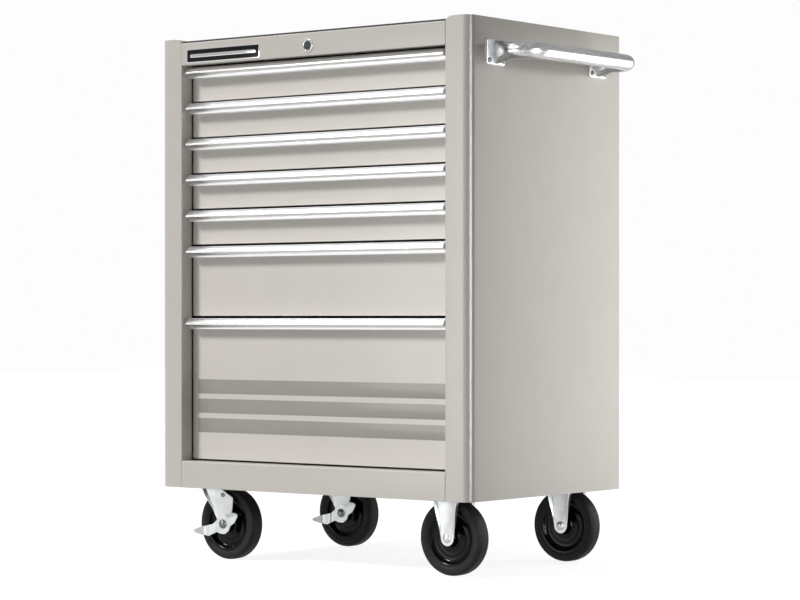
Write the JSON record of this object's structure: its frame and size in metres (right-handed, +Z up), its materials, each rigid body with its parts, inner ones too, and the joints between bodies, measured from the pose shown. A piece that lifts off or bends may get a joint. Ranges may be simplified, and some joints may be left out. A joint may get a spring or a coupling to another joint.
{
  "type": "rolling tool chest",
  "caption": "Sheet-steel roller cabinet with full-width pulls on sliding drawers, a central lock, a side grab handle, and fixed and braked swivel casters.",
  "frame": {"origin": "on the floor under the middle of the chest's bounding box, side grab handle included", "axes": "+Z up, -Y the way the drawers open, +X to the grab-handle side"},
  "size_m": [0.7645, 0.44, 0.912],
  "materials": {
    "paint": "warm light grey powder coat, satin",
    "aluminium": "bright anodised extrusion",
    "zinc": "bright zinc plated pressed steel",
    "bolt_steel": "zinc plated fasteners",
    "chrome": "bright chrome plate",
    "mat": "ribbed black mat",
    "tyre": "dark grey solid rubber, satin",
    "hub": "gloss black moulding"
  },
  "bodies": {
    "cabinet": {"left_side_panel": "paint", "right_side_panel": "paint", "back_panel": "paint", "bottom_pan": "paint", "top_plate": "paint", "top_mat": "mat", "lock_fascia": "paint", "bottom_rail": "paint", "cabinet_slide_rails": "zinc", "slide_uprights": "zinc", "lock_housing": "chrome", "grab_handle_tube": "chrome", "grab_handle_plates": "zinc", "fixed_caster_forks": "zinc", "swivel_top_plates": "zinc", "bolts_and_screws": "bolt_steel"},
    "lock": {"lock_barrel": "chrome"},
    "locking_bar": {"lock_bar": "zinc"},
    "drawer_1": {"drawer_1_tray": "paint", "drawer_1_handle": "aluminium", "drawer_1_runners": "zinc"},
    "slide_1": {"drawer_1_slide_middles": "zinc"},
    "drawer_2": {"drawer_2_tray": "paint", "drawer_2_handle": "aluminium", "drawer_2_runners": "zinc"},
    "slide_2": {"drawer_2_slide_middles": "zinc"},
    "drawer_3": {"drawer_3_tray": "paint", "drawer_3_handle": "aluminium", "drawer_3_runners": "zinc"},
    "slide_3": {"drawer_3_slide_middles": "zinc"},
    "drawer_4": {"drawer_4_tray": "paint", "drawer_4_handle": "aluminium", "drawer_4_runners": "zinc"},
    "slide_4": {"drawer_4_slide_middles": "zinc"},
    "drawer_5": {"drawer_5_tray": "paint", "drawer_5_handle": "aluminium", "drawer_5_runners": "zinc"},
    "slide_5": {"drawer_5_slide_middles": "zinc"},
    "drawer_6": {"drawer_6_tray": "paint", "drawer_6_handle": "aluminium", "drawer_6_runners": "zinc"},
    "slide_6": {"drawer_6_slide_middles": "zinc"},
    "drawer_7": {"drawer_7_tray": "paint", "drawer_7_handle": "aluminium", "drawer_7_runners": "zinc"},
    "slide_7": {"drawer_7_slide_middles": "zinc"},
    "front_left_swivel": {"front_left_fork": "zinc", "front_left_axle": "bolt_steel"},
    "front_left_brake": {"front_left_brake_lever": "zinc"},
    "front_left_wheel": {"front_left_tyre": "tyre", "front_left_hub": "hub"},
    "rear_left_swivel": {"rear_left_fork": "zinc", "rear_left_axle": "bolt_steel"},
    "rear_left_brake": {"rear_left_brake_lever": "zinc"},
    "rear_left_wheel": {"rear_left_tyre": "tyre", "rear_left_hub": "hub"},
    "front_right_wheel": {"front_right_tyre": "tyre", "front_right_hub": "hub"},
    "rear_right_wheel": {"rear_right_tyre": "tyre", "rear_right_hub": "hub"}
  },
  "joints": [
    {"name": "lock_turn", "type": "hinge", "parent": "cabinet", "child": "lock", "pos_m": [-0.04375, -0.218, 0.8825], "axis": [0, -1, 0], "range_deg": [0, 90]},
    {"name": "lock_bar_lift", "type": "slide", "parent": "cabinet", "child": "locking_bar", "axis": [0, 0, 1], "range_m": [0, 0.00989]},
    {"name": "drawer_1_slide", "type": "slide", "parent": "cabinet", "child": "drawer_1", "axis": [0, -1, 0], "range_m": [0, 0.35]},
    {"name": "slide_1_middle", "type": "slide", "parent": "cabinet", "child": "slide_1", "axis": [0, -1, 0], "range_m": [0, 0.175]},
    {"name": "drawer_2_slide", "type": "slide", "parent": "cabinet", "child": "drawer_2", "axis": [0, -1, 0], "range_m": [0, 0.35]},
    {"name": "slide_2_middle", "type": "slide", "parent": "cabinet", "child": "slide_2", "axis": [0, -1, 0], "range_m": [0, 0.175]},
    {"name": "drawer_3_slide", "type": "slide", "parent": "cabinet", "child": "drawer_3", "axis": [0, -1, 0], "range_m": [0, 0.35]},
    {"name": "slide_3_middle", "type": "slide", "parent": "cabinet", "child": "slide_3", "axis": [0, -1, 0], "range_m": [0, 0.175]},
    {"name": "drawer_4_slide", "type": "slide", "parent": "cabinet", "child": "drawer_4", "axis": [0, -1, 0], "range_m": [0, 0.35]},
    {"name": "slide_4_middle", "type": "slide", "parent": "cabinet", "child": "slide_4", "axis": [0, -1, 0], "range_m": [0, 0.175]},
    {"name": "drawer_5_slide", "type": "slide", "parent": "cabinet", "child": "drawer_5", "axis": [0, -1, 0], "range_m": [0, 0.35]},
    {"name": "slide_5_middle", "type": "slide", "parent": "cabinet", "child": "slide_5", "axis": [0, -1, 0], "range_m": [0, 0.175]},
    {"name": "drawer_6_slide", "type": "slide", "parent": "cabinet", "child": "drawer_6", "axis": [0, -1, 0], "range_m": [0, 0.35]},
    {"name": "slide_6_middle", "type": "slide", "parent": "cabinet", "child": "slide_6", "axis": [0, -1, 0], "range_m": [0, 0.175]},
    {"name": "drawer_7_slide", "type": "slide", "parent": "cabinet", "child": "drawer_7", "axis": [0, -1, 0], "range_m": [0, 0.35]},
    {"name": "slide_7_middle", "type": "slide", "parent": "cabinet", "child": "slide_7", "axis": [0, -1, 0], "range_m": [0, 0.175]},
    {"name": "front_left_swivel_turn", "type": "hinge", "parent": "cabinet", "child": "front_left_swivel", "pos_m": [-0.29925, -0.162, 0.0625], "axis": [0, 0, 1], "continuous": true},
    {"name": "front_left_brake_press", "type": "hinge", "parent": "front_left_swivel", "child": "front_left_brake", "pos_m": [-0.26525, -0.162, 0.0625], "axis": [0, -1, 0], "range_deg": [0, 18]},
    {"name": "front_left_wheel_spin", "type": "hinge", "parent": "front_left_swivel", "child": "front_left_wheel", "pos_m": [-0.26525, -0.162, 0.0625], "axis": [0, 1, 0], "continuous": true},
    {"name": "rear_left_swivel_turn", "type": "hinge", "parent": "cabinet", "child": "rear_left_swivel", "pos_m": [-0.29925, 0.164, 0.0625], "axis": [0, 0, 1], "continuous": true},
    {"name": "rear_left_brake_press", "type": "hinge", "parent": "rear_left_swivel", "child": "rear_left_brake", "pos_m": [-0.26525, 0.164, 0.0625], "axis": [0, -1, 0], "range_deg": [0, 18]},
    {"name": "rear_left_wheel_spin", "type": "hinge", "parent": "rear_left_swivel", "child": "rear_left_wheel", "pos_m": [-0.26525, 0.164, 0.0625], "axis": [0, 1, 0], "continuous": true},
    {"name": "front_right_wheel_spin", "type": "hinge", "parent": "cabinet", "child": "front_right_wheel", "pos_m": [0.22325, -0.162, 0.0625], "axis": [0, 1, 0], "continuous": true},
    {"name": "rear_right_wheel_spin", "type": "hinge", "parent": "cabinet", "child": "rear_right_wheel", "pos_m": [0.22325, 0.164, 0.0625], "axis": [0, 1, 0], "continuous": true}
  ],
  "couplings": [
    {"joint": "lock_turn", "follows": "lock_bar_lift", "rad_per_m": 158.67},
    {"joint": "slide_1_middle", "follows": "drawer_1_slide", "ratio": 0.5},
    {"joint": "slide_2_middle", "follows": "drawer_2_slide", "ratio": 0.5},
    {"joint": "slide_3_middle", "follows": "drawer_3_slide", "ratio": 0.5},
    {"joint": "slide_4_middle", "follows": "drawer_4_slide", "ratio": 0.5},
    {"joint": "slide_5_middle", "follows": "drawer_5_slide", "ratio": 0.5},
    {"joint": "slide_6_middle", "follows": "drawer_6_slide", "ratio": 0.5},
    {"joint": "slide_7_middle", "follows": "drawer_7_slide", "ratio": 0.5}
  ]
}
